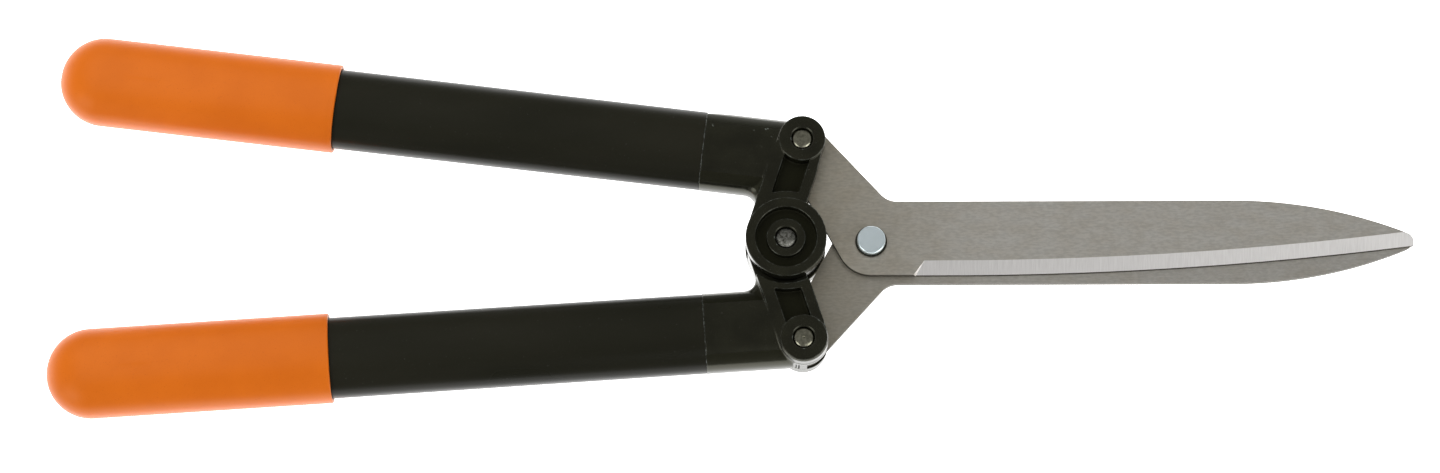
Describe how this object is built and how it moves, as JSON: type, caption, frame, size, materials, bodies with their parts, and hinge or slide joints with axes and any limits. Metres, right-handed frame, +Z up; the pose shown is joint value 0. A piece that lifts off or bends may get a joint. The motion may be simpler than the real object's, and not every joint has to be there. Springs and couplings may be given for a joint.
{
  "type": "hedge shears",
  "caption": "Two-handed hedge shears with straight blades, a toggle linkage between the handles, oval tube handles and rounded cap grips.",
  "frame": {"origin": "bottom centre of the bounding box, on the surface that the closed shears lie on", "axes": "+X towards the blade tips, +Y towards the upper handle, +Z up through the front blade, so the pivots' axes are parallel to Z"},
  "size_m": [0.5666, 0.1626, 0.0256],
  "materials": {
    "blade_steel": "satin, brushed along the blade, bevel ground across",
    "zinc_steel": "bright zinc plating",
    "rivet_steel": "dull plain steel",
    "black_nylon": "satin moulded, fine texture",
    "black_tube": "satin black coating",
    "orange_grip": "satin moulded, fine grain"
  },
  "bodies": {
    "front_blade": {"front_blade": "blade_steel", "pivot_bolt": "zinc_steel", "pivot_front_washer": "black_nylon", "pivot_rear_washer": "zinc_steel", "pivot_spring_washer": "zinc_steel", "pivot_nut": "zinc_steel"},
    "rear_blade": {"rear_blade": "blade_steel"},
    "upper_handle": {"upper_head": "black_nylon", "upper_rivet": "rivet_steel", "upper_rivet_washer": "rivet_steel", "upper_sleeve": "rivet_steel", "upper_tang_spacer": "black_nylon", "upper_tube": "black_tube", "upper_grip": "orange_grip", "centre_rivet": "rivet_steel", "centre_rivet_washer": "rivet_steel", "centre_sleeve": "rivet_steel"},
    "lower_handle": {"lower_head": "black_nylon", "lower_rivet": "rivet_steel", "lower_rivet_washer": "rivet_steel", "lower_sleeve": "rivet_steel", "lower_tang_spacer": "black_nylon", "lower_tube": "black_tube", "lower_grip": "orange_grip"}
  },
  "joints": [
    {"name": "blade_pivot", "type": "hinge", "parent": "front_blade", "child": "rear_blade", "pos_m": [0.05801, -0.00838, 0.0128], "axis": [0, 0, 1], "range_deg": [-36, 0]},
    {"name": "upper_handle_pivot", "type": "hinge", "parent": "front_blade", "child": "upper_handle", "pos_m": [0.02951, 0.03402, 0.0128], "axis": [0, 0, 1], "range_deg": [-53.3, 0]},
    {"name": "lower_handle_pivot", "type": "hinge", "parent": "rear_blade", "child": "lower_handle", "pos_m": [0.02951, -0.05078, 0.0128], "axis": [0, 0, 1], "range_deg": [0, 53.3]}
  ],
  "couplings": [
    {"joint": "upper_handle_pivot", "follows": "blade_pivot", "ratio": 1.48},
    {"joint": "lower_handle_pivot", "follows": "blade_pivot", "ratio": -1.48}
  ]
}
